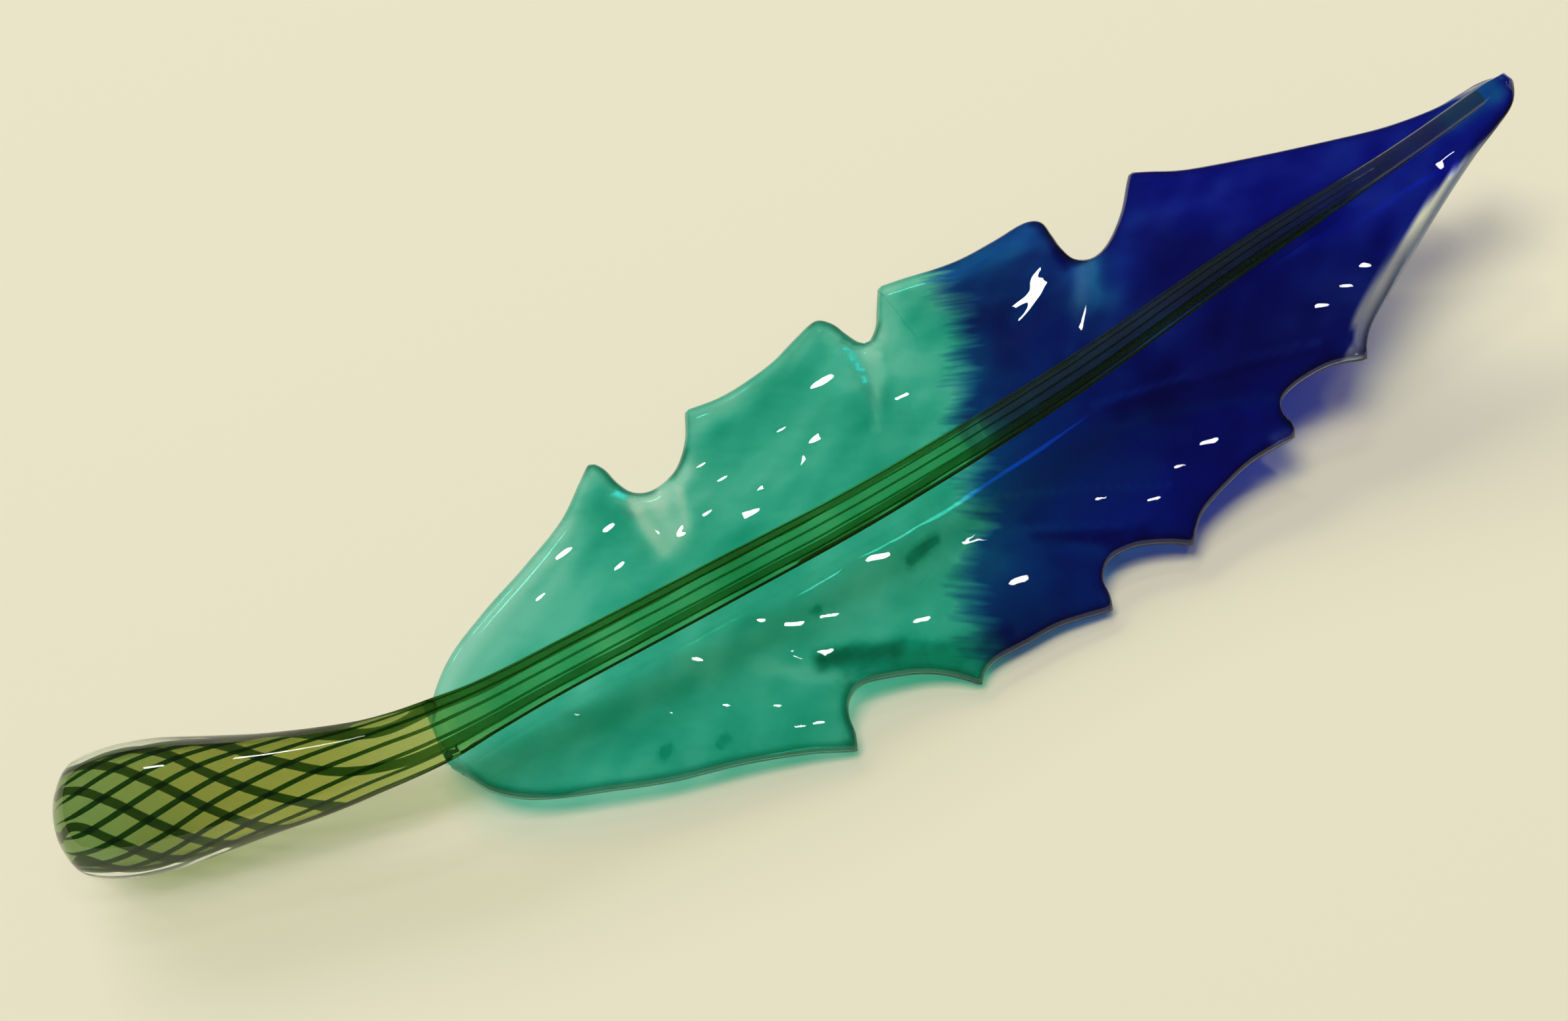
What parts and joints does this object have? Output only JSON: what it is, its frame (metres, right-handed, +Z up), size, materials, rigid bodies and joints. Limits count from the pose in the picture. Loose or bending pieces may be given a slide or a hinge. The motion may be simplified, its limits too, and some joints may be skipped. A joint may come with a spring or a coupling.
{
  "type": "glass feather pen",
  "caption": "Hot-worked glass feather: a striped cane stem with a rounded clear handle, lying along an arched, lobed vane of clear glass with teal and cobalt colour.",
  "frame": {"origin": "the middle of the underside of the part's box, on the surface that the feather lies on", "axes": "+X along the feather from the butt of the handle to the drawn tip, +Z up, +Y towards the side of the vane with the wider lobes"},
  "size_m": [0.2086, 0.0608, 0.0245],
  "materials": {
    "clear_glass": "clear, fire-polished",
    "core_glass": "transparent yellow-green rod, fire-polished",
    "cane_glass": "dark green drawn cane, fire-polished",
    "teal_glass": "teal layer, slightly mottled, fire-polished",
    "cobalt_glass": "cobalt layer with a brushed edge, fire-polished"
  },
  "bodies": {
    "root": {"stem_core": "core_glass", "cane_01": "cane_glass", "cane_02": "cane_glass", "cane_03": "cane_glass", "cane_04": "cane_glass", "cane_05": "cane_glass", "cane_06": "cane_glass", "cane_07": "cane_glass", "cane_08": "cane_glass", "cane_09": "cane_glass", "cane_10": "cane_glass", "cane_11": "cane_glass", "cane_12": "cane_glass", "handle_casing": "clear_glass", "vane_base": "clear_glass", "vane_teal": "teal_glass", "vane_cobalt": "cobalt_glass"}
  },
  "joints": []
}
